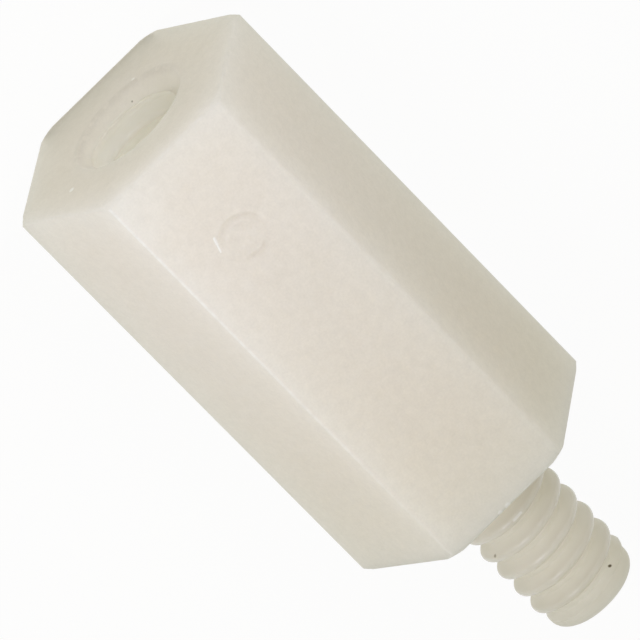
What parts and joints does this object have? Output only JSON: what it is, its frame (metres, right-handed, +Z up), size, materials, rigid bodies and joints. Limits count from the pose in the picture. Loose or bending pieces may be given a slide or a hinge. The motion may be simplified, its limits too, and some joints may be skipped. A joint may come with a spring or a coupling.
{
  "type": "hex standoff",
  "caption": "Male-female hex standoff in translucent natural nylon: a hexagonal body with a threaded hole in one end and a threaded stud on the other.",
  "frame": {"origin": "on the axis of the body and the stud, in the plane of the shoulder", "axes": "+X along the axis, out of the stud; +Z up, out of the flat that carries the round moulding mark; the part lies on the opposite flat"},
  "size_m": [0.0174, 0.0072, 0.0062],
  "materials": {
    "nylon": "natural nylon, milky and a little translucent, with a fine satin grain from the mould"
  },
  "bodies": {
    "root": {"hex_standoff": "nylon"}
  },
  "joints": []
}
